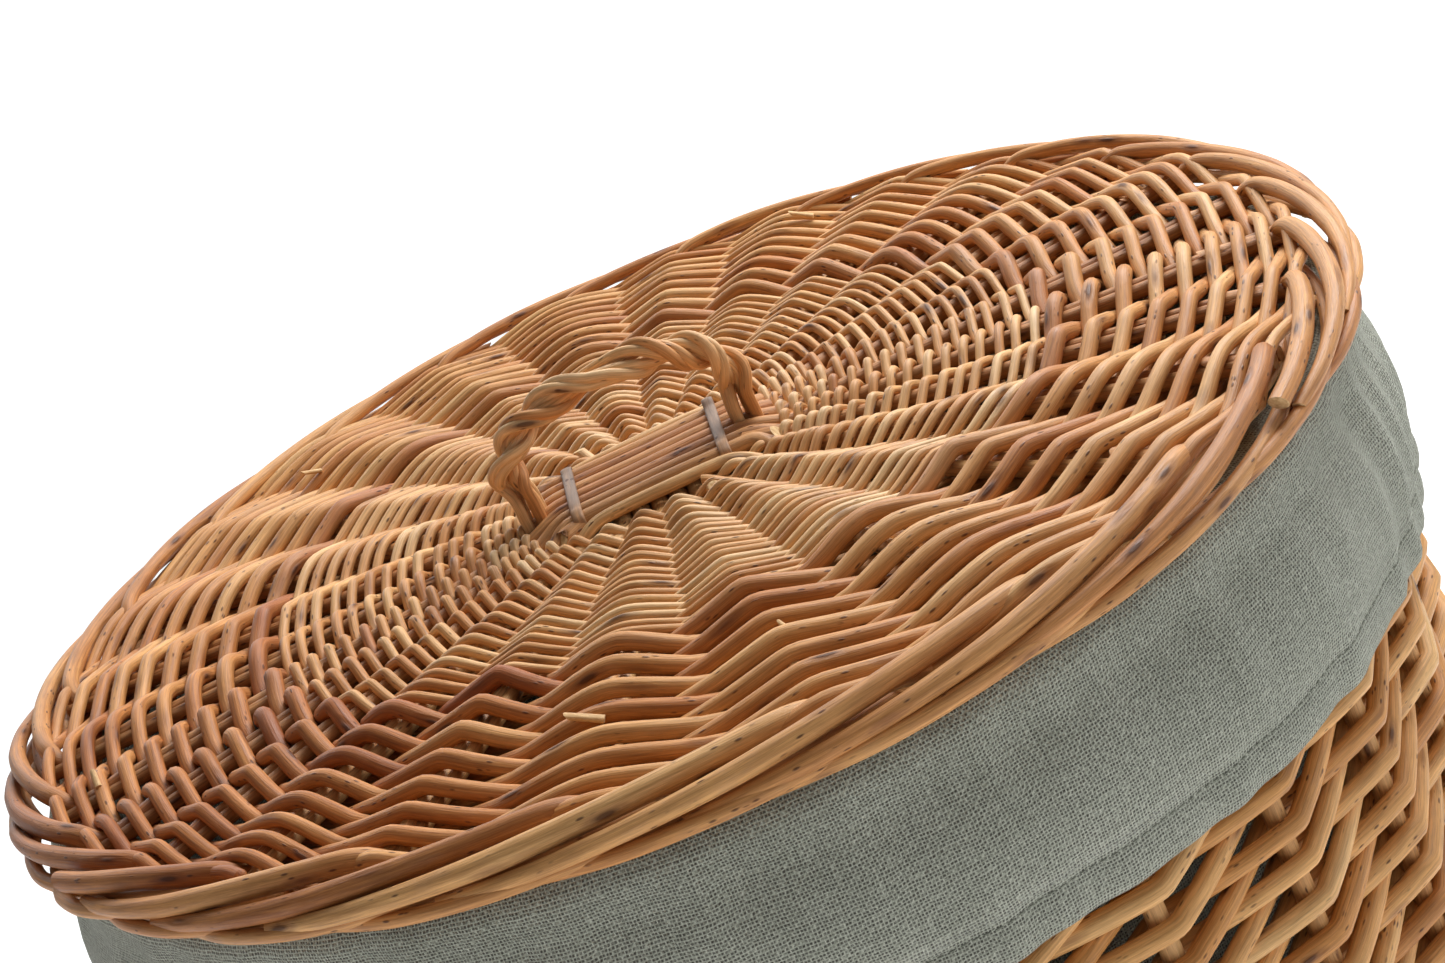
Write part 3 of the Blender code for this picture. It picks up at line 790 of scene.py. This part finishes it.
def make_lid_border():
    """Two rods from each stick lean back along the rim.

    Of the upper ones a few end blunt on top, and the others taper and tuck under.
    """
    rods = Rods(4)
    rng = np.random.default_rng(71)
    for stick in range(LID_SPOKES):
        angle = float(spoke_angle(stick))
        size = (3.02 - 0.04 * math.cos(angle) - 0.42 * math.sin(angle)
                + rng.uniform(-0.15, 0.15)) * MM
        inner = beside(angle, -0.4 * MM, rng.uniform(0.186, 0.194), 0.2062,
                       LID_MIDDLE + 0.6 * MM, 5)
        inner[:, 2] -= np.linspace(0.0, 1.8, 5) * MM
        blunt = rng.uniform(0.0, 1.0) < 0.3
        length = rng.uniform(1.6, 1.9) if blunt else rng.uniform(2.3, 2.65)
        route = np.vstack((inner, rim_route(rng, stick, 0.0, length, UPPER_RIM, 0.75 * MM)))
        route = finer(settled(route, 1), 2)
        share = np.linspace(0.0, 1.0, len(route))
        taper = np.interp(share, (0.0, 0.55, 1.0), (1.0, 0.97, 0.90 if blunt else 0.60))
        # painted shade: the border rods' tint is darkened towards the lid's left, where the light
        # falls off
        shade = np.clip(rng.normal(0.44, 0.14) - 0.30 * painted_left_shade(angle), 0.03, 0.85)
        rods.add(route, size * taper, shade, 0.12 * rng.uniform(0.0, 1.0), sides=14,
                 slant=(5.0 * MM, rng.uniform(0.5, 3.0) * MM))
        lower = rim_route(rng, stick, 0.35, 2.85, LOWER_RIM, 0.45 * MM)
        rods.add(finer(settled(lower, 2), 2), rng.uniform(2.15, 2.4) * MM,
                 np.clip(rng.normal(0.45, 0.17), 0.1, 0.9), 0.1)
    rods.make("lid_border", BORDER_WILLOW, "lid", "border_willow", "lid_border")


# ---- Lid: lashings and handle ----
def make_lashing(name, middle, lean, knuckle):
    """A flat strip of split willow, wrapped round the sticks of the cross.

    knuckle is how far it stands up in a loop over its far end.
    """
    half_width = 3.0 * LID_PITCH + 3.9 * MM
    half_height = 3.6 * MM
    line = []
    for share in np.linspace(0.0, 1.0, 41)[:-1]:
        turn = TURN * share
        y = half_width * math.copysign(abs(math.cos(turn)) ** 0.28, math.cos(turn))
        z = half_height * math.copysign(abs(math.sin(turn)) ** 0.45, math.sin(turn))
        ripple = 0.16 * MM * math.cos(TURN * y / LID_PITCH) if z > 0 else 0.0
        loop = knuckle * math.exp(-((y - 0.83 * half_width) / 0.0032) ** 2) if z > 0 else 0.0
        line.append((middle + lean * y / half_width, y, LID_PLANE + LID_OVER + z + ripple + loop))
    line.append(line[0])
    route = finer(np.array(line), 2)
    near = smooth_step(-(route[:, 1] + 0.011) / 0.008)
    strip = Rods(80 + int(middle > 0))
    strip.add(route, 1.0 * MM, 0.25 + 0.6 * near, sides=10, up=(1.0, 0.0, 0.0), oval=(0.62, 2.0))
    strip.make(name, LASHING_WILLOW, "lid", "lashing_willow", name)


def handle_centre(share):
    turn = math.pi * (1.0 - share)
    power = 2.0 / HANDLE_SQUARENESS
    across = np.copysign(np.abs(np.cos(turn)) ** power, np.cos(turn))
    rise = np.abs(np.sin(turn)) ** power
    half_span = HANDLE_HALF_SPAN + HANDLE_BULGE * 4.0 * rise * (1.0 - rise)
    return np.stack((HANDLE_MIDDLE + half_span * across, np.zeros_like(rise),
                     LID_PLANE + HANDLE_FOOT + (HANDLE_APEX - HANDLE_FOOT) * rise), axis=-1)


def make_handle():
    """Two strands of split rods, twisted into a rope that comes apart at its feet."""
    rng = np.random.default_rng(91)
    steps = np.linspace(0.0, 1.0, 97)
    centre = handle_centre(steps)
    ahead = unit(handle_centre(np.minimum(steps + 0.01, 1.0))
                 - handle_centre(np.maximum(steps - 0.01, 0.0)))
    across = np.array((0.0, 1.0, 0.0))
    outward = np.cross(across, ahead)

    def round_about(spin, distance):
        return (across * np.cos(spin)[:, None] + outward * np.sin(spin)[:, None]) * distance

    for strand in range(2):
        rods = Rods(92 + strand)
        turn = math.pi * strand + TURN * HANDLE_TWISTS * steps
        middle = centre + round_about(turn, 3.15 * MM)
        for part in range(3):
            spin = turn + TURN * part / 3.0 + 1.1 * np.sin(steps * 5.0)
            route = middle + round_about(spin, 1.7 * MM)
            sway = 0.6 * MM * math.sin(2.1 * (strand + 2 * part))
            for foot, away, gap in ((-1.0, steps, 3.7), (1.0, 1.0 - steps, 3.3)):
                loose = 1.0 - smooth_step(away / 0.10)[:, None]
                straight = route.copy()
                straight[:, 0] = (HANDLE_MIDDLE + foot * (HANDLE_HALF_SPAN + sway)
                                  + (strand - 0.5) * 5.4 * MM)
                straight[:, 1] = (part - 1.0) * gap * MM
                route = route * (1.0 - loose) + straight * loose
            sunk = np.linspace(0.0, 1.0, 5)[1:, None] * np.array((0.0, 0.0, -9.5 * MM))
            route = np.vstack(((route[0] + sunk)[::-1], route, route[-1] + sunk))
            rods.add(route, rng.uniform(1.6, 1.85) * MM, rng.uniform(0.15, 0.85),
                     0.15 * rng.uniform(0.0, 1.0), up=across, oval=(1.12, 0.92))
        name = f"lid_handle_strand_{strand + 1}"
        rods.make(name, HANDLE_WILLOW, "lid", "handle_willow", name)


# ---- Basket wall ----
WALL_FIRST, WALL_STEP = 0.0482, 0.01262     # the first row's height, and between two rows
WALL_CROSSING = np.array((0.03, 0.07, 0.28, 0.51, 0.76, 0.96))
WALL_SWING = 4.9 * MM       # a weaver's middle, from the middle of the wall
WALL_SETS = (("side_weave_lower", 0, 13), ("side_weave_middle", 13, 26),
             ("side_weave_upper", 26, 38))


def stake_angle(index):
    return TURN * (np.asarray(index, float) + 0.5) / STAKES


def make_wall():
    """French randing again: one weaver from each stake in each of three sets."""
    rng = np.random.default_rng(101)
    sharp = rng.uniform(0.990, 0.9995, STAKES)
    for name, low, high in WALL_SETS:
        rods = Rods(110 + low)
        local = stations(-0.55, 2.0 * (high - low) + 0.35, WALL_CROSSING)
        lean = 0.43 * 0.5 * (1.0 - fold(local - 0.05, 0.9995))
        level = WALL_FIRST + WALL_STEP * (low + local / 2.0 + lean)
        for start in range(STAKES):
            place = start + local
            edge = sharp[np.round(place).astype(int) % STAKES]
            height = level + rng.normal(0.0, 0.2) * MM
            sway = 0.25 * MM * np.sin(local * 1.3 + rng.uniform(0.0, TURN))
            reach = wall_radius(height) + WALL_SWING * fold(local - 0.03, edge) + sway
            radius = (3.45 - 0.016 * local) * rng.uniform(0.93, 1.05) * MM
            tint = np.clip(rng.normal(0.55, 0.2), 0.05, 1.0)
            butt = 0.4 * rng.uniform(0.0, 1.0) * np.exp(-np.maximum(local, 0.0) / 1.5)
            rods.add(cylinder(reach, stake_angle(place), height), radius, tint, butt, sides=10)
        rods.make(name, WALL_WILLOW, "basket", "wall_willow", "side_weave")


def make_stakes():
    rods = Rods(120)
    rng = np.random.default_rng(121)
    height = np.linspace(FOOT_HEIGHT + 0.001, 0.5475, 28)
    for index in range(STAKES):
        angle = float(stake_angle(index))
        route = cylinder(wall_radius(height), angle, height)
        rods.add(route, np.linspace(3.6, 3.2, len(height)) * MM, rng.uniform(0.2, 0.7), 0.1,
                 up=(math.cos(angle), math.sin(angle), 0.0))
    rods.make("side_stakes", STICK_WILLOW, "basket", "stake_willow", "side_stakes")


ROPE_STEPS = np.array((0.0, 0.17, 0.33, 0.5, 0.67, 0.83))
RIM_MIDDLE = 0.5447


def make_rope(name, strands, turns, low, rise, reach, swing, climb, size):
    """Weavers that twist round each other, once in three stakes, as they go round the basket.

    swing, climb and size are in mm: how far out and up a twist goes, and a weaver's radius.
    """
    rods = Rods(130 + strands + int(low * 1000))
    rng = np.random.default_rng(int(low * 5000) + strands)
    for strand in range(strands):
        local = stations(0.0, turns * STAKES, ROPE_STEPS)
        twist = TURN * (local / 3.0 + strand / strands)
        height = low + rise * local / STAKES + climb * MM * np.sin(twist)
        radius = reach(height) + swing * MM * np.cos(twist)
        rods.add(cylinder(radius, stake_angle(local + strand), height), size * MM,
                 rng.uniform(0.3, 0.8), 0.1, sides=10)
    rods.make(name, WALL_WILLOW, "basket", "wall_willow", name)


def make_ropes():
    make_rope("lower_wale", 3, 3.0, 0.0230, 0.0060, wall_radius, 5.3, 2.3, 2.75)
    make_rope("foot_border", 7, 1.0, 0.0094, 0.0, lambda z: wall_radius(FOOT_HEIGHT),
              5.0, 6.0, 3.3)
    make_rope("rim_border", 6, 1.0, RIM_MIDDLE, 0.0, lambda z: wall_radius(RIM_MIDDLE),
              5.0, 8.6, 3.2)


# ---- Base ----
BASE_ROW = 0.0062           # between the rows of its weave
BASE_WEAVE_START = BASE_SPREAD + 0.003


def make_base_cross():
    rng = np.random.default_rng(141)
    for name, seed, place, under in cross_sticks(4, 3):
        turn = place * TURN / BASE_SPOKES
        height = BASE_MIDDLE + (-BASE_OVER if under else BASE_OVER)
        straight = (4 if under else 3) / 2.0 * BASE_PITCH + 2.0 * MM
        route = cross_route(place * BASE_PITCH, (math.pi - turn, turn), BASE_SPREAD,
                            BASE_END - 0.5 * MM, height, BASE_MIDDLE, straight, 0.3 * MM)
        rods = Rods(150 + seed)
        rods.add(quarter_turned(route) if under else route, 3.95 * MM, rng.uniform(0.3, 0.8))
        rods.make("base_" + name, STICK_WILLOW, "basket", "base_stick_willow", "base_" + name)


def make_base_weave():
    """Two weavers twisted round the sticks of the base, working outward."""
    rods = Rods(160)
    rows = (BASE_END - BASE_WEAVE_START - 0.003) / BASE_ROW
    for strand in (0.0, 1.0):
        local = stations(0.0, rows * BASE_SPOKES)
        twist = 1.5 * MM * np.sin(math.pi * (local + strand))
        radius = BASE_WEAVE_START + BASE_ROW * local / BASE_SPOKES + twist
        height = BASE_MIDDLE + 4.9 * MM * fold(local + strand, 0.85)
        angle = TURN * (local + 0.25) / BASE_SPOKES
        rods.add(cylinder(radius, angle, height), 2.35 * MM, 0.5 + 0.2 * strand, 0.1, sides=8)
    rods.make("base_weave", WALL_WILLOW, "basket", "wall_willow", "base_weave")


# ---- Lining ----
CLOTH_HALF = 0.55 * MM
AROUND = 640                # columns of cloth, counted from the seam at the back
SEAM = math.pi / 2.0
LINING_GAP = 13.2 * MM      # from the middle of the wall in to the cloth
LINING_FLOOR = 0.0325
LINING_START = 0.0352
CLOTH_RADIUS = 0.2205
RIM_TURN = (0.2112, 0.5462)     # what the cloth turns round at the rim: radius and height
STITCH = (0.2236, 0.4987)       # the hem's stitching: radius and height
PANEL_RADIUS = 0.1872

# The cuff from under the lid to the hem, as radius and height.
CUFF = ((0.2208, 0.5425), (0.2217, 0.5382), (0.2232, 0.5335), (0.2246, 0.5285), (0.2257, 0.5225),
        (0.2262, 0.5165), (0.2262, 0.5110), (0.2257, 0.5060), (0.2249, 0.5020))
# The hem, as mm from the stitching upward and outward, and how far it follows the gathers:
# a groove at the stitching, a flat hem below it, and the turned-in edge behind.
HEM = ((3.0, 0.8, 0.85), (1.2, 0.4, 0.95), (0.0, 0.0, 1.0), (-1.2, 0.3, 1.0), (-3.4, 0.5, 1.05),
       (-6.2, 0.4, 1.1), (-9.0, 0.0, 1.15), (-11.2, -0.8, 1.2), (-12.2, -1.7, 1.2),
       (-11.6, -2.5, 1.15), (-8.0, -2.8, 1.0), (-3.0, -2.8, 0.9), (1.2, -2.6, 0.8))


def ripples(angle, seed, counts, sizes):
    """An uneven wave round the basket: so many waves of so many mm."""
    rng = np.random.default_rng(seed)
    total = np.zeros_like(angle)
    for count, size in zip(counts, sizes):
        drift = 0.5 + 0.5 * np.sin(angle * 2.0 + rng.uniform(0.0, TURN))
        wave = np.sin(count * angle + rng.uniform(0.0, TURN)
                      + 0.7 * np.sin(3.0 * angle + rng.uniform(0.0, TURN)))
        total += size * wave * (0.35 + 0.65 * drift)
    return total * MM


def lining_rows(wrap):
    """Rows of (radius, height) from the floor to the hem, and the stitching's height and waves."""
    inner_waves = ripples(wrap, 201, (9, 17, 29), (1.0, 0.6, 0.3))
    broad = ripples(wrap, 202, (7, 13, 19), (0.5, 0.45, 0.35))
    gathers = ripples(wrap, 203, (31, 47, 71, 97), (0.55, 0.5, 0.35, 0.2))
    right = np.exp(-((np.sin(wrap / 2.0) / 0.34) ** 2))
    folds = ripples(wrap, 205, (17, 26, 37), (1.2, 1.5, 1.2))
    folds = (1.6 * MM - 1.5 * np.sqrt(folds ** 2 + (0.3 * MM) ** 2)) * (0.20 + 1.5 * right)
    puckers = ripples(wrap, 206, (37, 53, 71), (0.9, 0.8, 0.5)) * (0.9 + 0.7 * right)
    droop = ripples(wrap, 204, (2, 5, 11, 43), (2.2, 1.4, 0.7, 0.25))

    rows = []
    for height in np.linspace(LINING_START, 0.530, 15):
        share = (height - LINING_START) / 0.495
        waves = inner_waves * math.sin(math.pi * min(share * 1.1, 1.0)) - 0.4 * MM
        rows.append((wall_radius(height) - LINING_GAP + np.minimum(waves, 1.2 * MM), height))
    for bend in np.radians(np.linspace(150.0, 20.0, 12)):
        outer = max(0.0, math.cos(bend))
        rows.append((RIM_TURN[0] + (12.2 - 2.2 * outer) * MM * math.cos(bend)
                     + 0.15 * gathers + 0.5 * outer * puckers,
                     RIM_TURN[1] + 12.9 * MM * math.sin(bend)))
    for step, (radius, height) in enumerate(CUFF):
        ease = (step + 1) / len(CUFF)
        bulge = math.sin(math.pi * min(1.0, 0.15 + 0.85 * ease))
        rows.append((radius - 0.6 * MM + broad * ease + gathers * ease ** 2 * 0.5
                     + folds * (0.35 * ease + 0.65 * bulge) + puckers * (1.0 - ease),
                     height + 0.35 * droop * ease))
    stitch = STITCH[1] + droop
    hold = broad + 0.9 * gathers + 0.35 * folds
    for lift, out, pull in HEM:
        rows.append((STITCH[0] + (out - 0.4) * MM + hold * pull, stitch + lift * MM))
    return rows, stitch, hold


def cloth_mesh(middle):
    """The cloth round its middle surface, with its flat coordinate at each corner of a face."""
    down = np.gradient(middle, axis=0)
    round_way = np.roll(middle, -1, axis=1) - np.roll(middle, 1, axis=1)
    out = np.cross(round_way, down)
    out /= np.linalg.norm(out, axis=2)[:, :, None]
    points = [(middle + sign * CLOTH_HALF * out).reshape(-1, 3) for sign in (1.0, -1.0)]
    total = len(middle)
    far = total * AROUND
    steps = np.linalg.norm(np.diff(middle[:, 0], axis=0), axis=1)
    run = np.concatenate(([0.0], np.cumsum(steps)))
    width = np.arange(AROUND + 1) * TURN * CLOTH_RADIUS / AROUND
    flat = np.stack(np.broadcast_arrays(width, run[:, None], 0.0), axis=-1)
    spots = np.stack((flat[:-1, :-1], flat[:-1, 1:], flat[1:, 1:], flat[1:, :-1]), axis=2)
    spots = spots.reshape(-1, 4, 3)

    quads = ring_faces(total, AROUND)
    faces, corners = [quads[:, ::-1], quads + far], [spots[:, ::-1], spots]
    column = np.arange(AROUND)
    after = (column + 1) % AROUND
    for line, step in ((0, 1), ((total - 1) * AROUND, -1)):
        edge = np.stack((column, after, after + far, column + far), axis=-1) + line
        faces.append(edge[:, ::step])
        corners.append(np.zeros((AROUND, 4, 3)))
    mesh = mesh_of("lining_wall_and_cuff", np.vstack(points), faces, True)
    add_layer(mesh, "cloth", np.concatenate(corners), "CORNER")
    return mesh


def make_lining():
    """The lining's wall and cuff, the stitches of its hem and the elastic inside it."""
    wrap = SEAM + TURN * np.arange(AROUND) / AROUND
    rows, stitch, hold = lining_rows(wrap)
    mesh = cloth_mesh(np.stack([cylinder(radius, wrap, height) for radius, height in rows]))
    lining = add_piece("lining_wall_and_cuff", mesh, LINEN, "basket", "linen",
                       "lining_wall_and_cuff")

    stitches = Rods(210)
    ring = np.linspace(SEAM, SEAM + TURN, 430, endpoint=False)
    index = (ring - SEAM) / TURN * AROUND
    level = np.interp(index, np.arange(AROUND), stitch, period=AROUND)
    push = np.interp(index, np.arange(AROUND), hold, period=AROUND)
    for turn, height, waves in zip(ring, level, push):
        reach = STITCH[0] - 0.4 * MM + waves + CLOTH_HALF
        along = np.array((-1.05, -0.75, 0.0, 0.75, 1.05)) * MM / reach
        lift = np.array((-0.22, 0.12, 0.24, 0.12, -0.22)) * MM
        stitches.add(cylinder(reach + lift, turn + along, height), 0.24 * MM, sides=6,
                     ends=("round", "round"))
    stitched = stitches.make("hem_stitches", THREAD, "basket", "linen")

    band = Rods(220)
    ends = np.arange(0, AROUND + 1, 2)
    place = ends % AROUND
    band.add(cylinder(STITCH[0] - 1.7 * MM + hold[place], SEAM + TURN * ends / AROUND,
                      stitch[place] - 6.2 * MM), 1.0 * MM, sides=8, oval=(0.35, 2.8))
    elastic = band.make("cuff_elastic", ELASTIC, "basket", "elastic", "cuff_elastic")


def make_bottom_panel():
    """The lining's round bottom, lying a little uneven on the base."""
    rings, around = 26, 120
    radius = np.linspace(0.0, 1.0, rings + 1)[1:] * PANEL_RADIUS
    turn = TURN * np.arange(around) / around
    radius, turn = np.meshgrid(radius, turn, indexing="ij")
    wave = 0.7 * MM * (np.sin(radius * 60.0 + 2.0 * np.sin(2.0 * turn)) * np.sin(3.0 * turn + 1.0)
                       + 0.6 * np.sin(radius * 95.0 - 2.0 * turn))
    height = LINING_FLOOR + wave * (1.0 - (radius / PANEL_RADIUS) ** 4)
    top = np.vstack((cylinder(radius, turn, height).reshape(-1, 3), (0.0, 0.0, LINING_FLOOR)))
    bottom = top - np.array((0.0, 0.0, 2.0 * CLOTH_HALF))
    total = len(top)
    quads = ring_faces(rings, around)[:, (0, 3, 2, 1)]
    fan = fan_faces(around, 0, total - 1)
    first = (rings - 1) * around + np.arange(around)
    second = (rings - 1) * around + (np.arange(around) + 1) % around
    rim = np.stack((first, first + total, second + total, second), axis=-1)
    faces = [quads, fan, quads[:, ::-1] + total, fan[:, ::-1] + total, rim]
    mesh = mesh_of("lining_bottom_panel", np.vstack((top, bottom)), faces, True)
    add_layer(mesh, "cloth", np.vstack((top, top)) * (1.0, 1.0, 0.0))
    panel = add_piece("lining_bottom_panel", mesh, LINEN, "basket", "linen",
                      "lining_bottom_panel")


# ---- Studio ----
WHITE = (1.0, 1.0, 1.0, 1.0)


def lamp(name, kind, toward, strength):
    """A light that shines from the given direction."""
    light = bpy.data.lights.new(name, kind)
    light.energy = strength
    holder = new_object(name, light)
    holder.rotation_mode = "QUATERNION"
    holder.rotation_quaternion = Vector(toward).to_track_quat("Z", "Y")
    return holder


def make_studio():
    """A white floor that glows a little, three soft far lights and one near the lid's far right."""
    bpy.context.scene.view_settings.view_transform = "Standard"
    world = bpy.data.worlds.new("studio")
    world.use_nodes = True
    world.node_tree.nodes["Background"].inputs["Color"].default_value = WHITE
    world.node_tree.nodes["Background"].inputs["Strength"].default_value = 0.16
    bpy.context.scene.world = world

    half = 30.0
    corners = np.array(((-half, -half, 0.0), (half, -half, 0.0), (half, half, 0.0),
                        (-half, half, 0.0)))
    mesh = mesh_of("floor", corners, [np.array(((0, 1, 2, 3),))], False)
    n = Nodes("floor_paper", (0.97, 0.97, 0.97, 1.0), 0.9)
    n.set("Emission Color", WHITE)
    n.set("Emission Strength", 0.44)
    mesh.materials.append(n.material)
    floor = new_object("floor", mesh)

    for name, toward, strength, softness in (("key", (0.42, 0.60, 0.80), 1.3, 40.0),
                                             ("side", (0.95, -0.10, 0.36), 0.7, 45.0),
                                             ("back", (-0.20, 0.92, 0.42), 1.0, 50.0)):
        sun = lamp(name, "SUN", toward, strength)
        sun.data.angle = math.radians(softness)

    place = Vector((0.62, 0.52, 1.24))
    near = lamp("near", "AREA", place - Vector((0.12, 0.0, LID_PLANE)), 12.0)
    near.location = place
    near.data.shape = "DISK"
    near.data.size = 0.75


place_camera()
make_studio()
make_lid_cross()
make_inner_pairing()
make_lid_bands()
make_lid_border()
make_lashing("lid_lashing_left", LASHING_X[0], 0.9 * MM, 0.7 * MM)
make_lashing("lid_lashing_right", LASHING_X[1], 1.4 * MM, 2.2 * MM)
make_handle()
make_wall()
make_stakes()
make_ropes()
make_base_cross()
make_base_weave()
make_lining()
make_bottom_panel()
